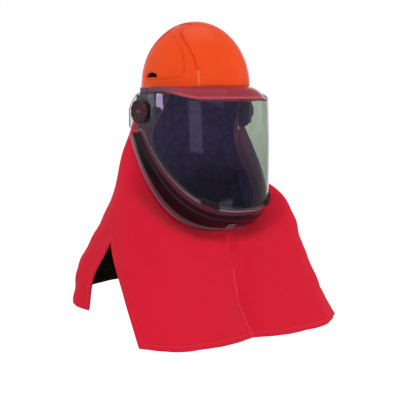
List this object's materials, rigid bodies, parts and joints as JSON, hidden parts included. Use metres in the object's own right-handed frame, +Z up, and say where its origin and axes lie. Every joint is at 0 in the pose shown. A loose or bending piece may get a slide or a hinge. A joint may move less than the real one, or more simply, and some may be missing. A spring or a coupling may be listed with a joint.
{
  "type": "arc flash hood with hard hat",
  "caption": "Protective hood with a hard hat, a lifting curved window with a chin cup, and a red cloth cape with a front bib, a back panel and side slits.",
  "frame": {"origin": "the crown of the wearer's head, inside the hat, on the hood's middle plane", "axes": "+Z up, -Y the way the wearer faces, -X the wearer's right"},
  "size_m": [0.566, 0.4627, 0.689],
  "materials": {
    "hat_orange": "glossy",
    "brow_tint": "glossy, see-through",
    "cloth_red": "matt woven",
    "lining_black": "matt",
    "window_tint": "glossy, see-through",
    "cup_tint": "glossy, see-through",
    "rim_grey": "satin",
    "bracket_dark": "satin",
    "knob_brown": "satin",
    "pale_plastic": "satin"
  },
  "bodies": {
    "hood": {"hat_shell": "hat_orange", "brow_guard": "brow_tint", "hood_cloth": "cloth_red", "hood_lining": "lining_black", "bracket_left": "bracket_dark", "bracket_right": "bracket_dark", "bracket_strip_left": "pale_plastic", "bracket_strip_right": "pale_plastic"},
    "visor": {"lens": "window_tint", "chin_cup": "cup_tint", "chin_rim": "rim_grey", "chin_pad": "rim_grey", "clip_left": "bracket_dark", "clip_right": "bracket_dark"},
    "knob_left": {"knob_left": "knob_brown", "knob_screw_left": "pale_plastic"},
    "knob_right": {"knob_right": "knob_brown", "knob_screw_right": "pale_plastic"}
  },
  "joints": [
    {"name": "visor_lift", "type": "hinge", "parent": "hood", "child": "visor", "pos_m": [0, 0, -0.157], "axis": [-1, 0, 0], "range_deg": [0, 45]},
    {"name": "knob_left_turn", "type": "hinge", "parent": "hood", "child": "knob_left", "pos_m": [0.15, 0, -0.157], "axis": [1, 0, 0], "range_deg": [0, 180]},
    {"name": "knob_right_turn", "type": "hinge", "parent": "hood", "child": "knob_right", "pos_m": [-0.15, 0, -0.157], "axis": [-1, 0, 0], "range_deg": [0, 180]}
  ]
}
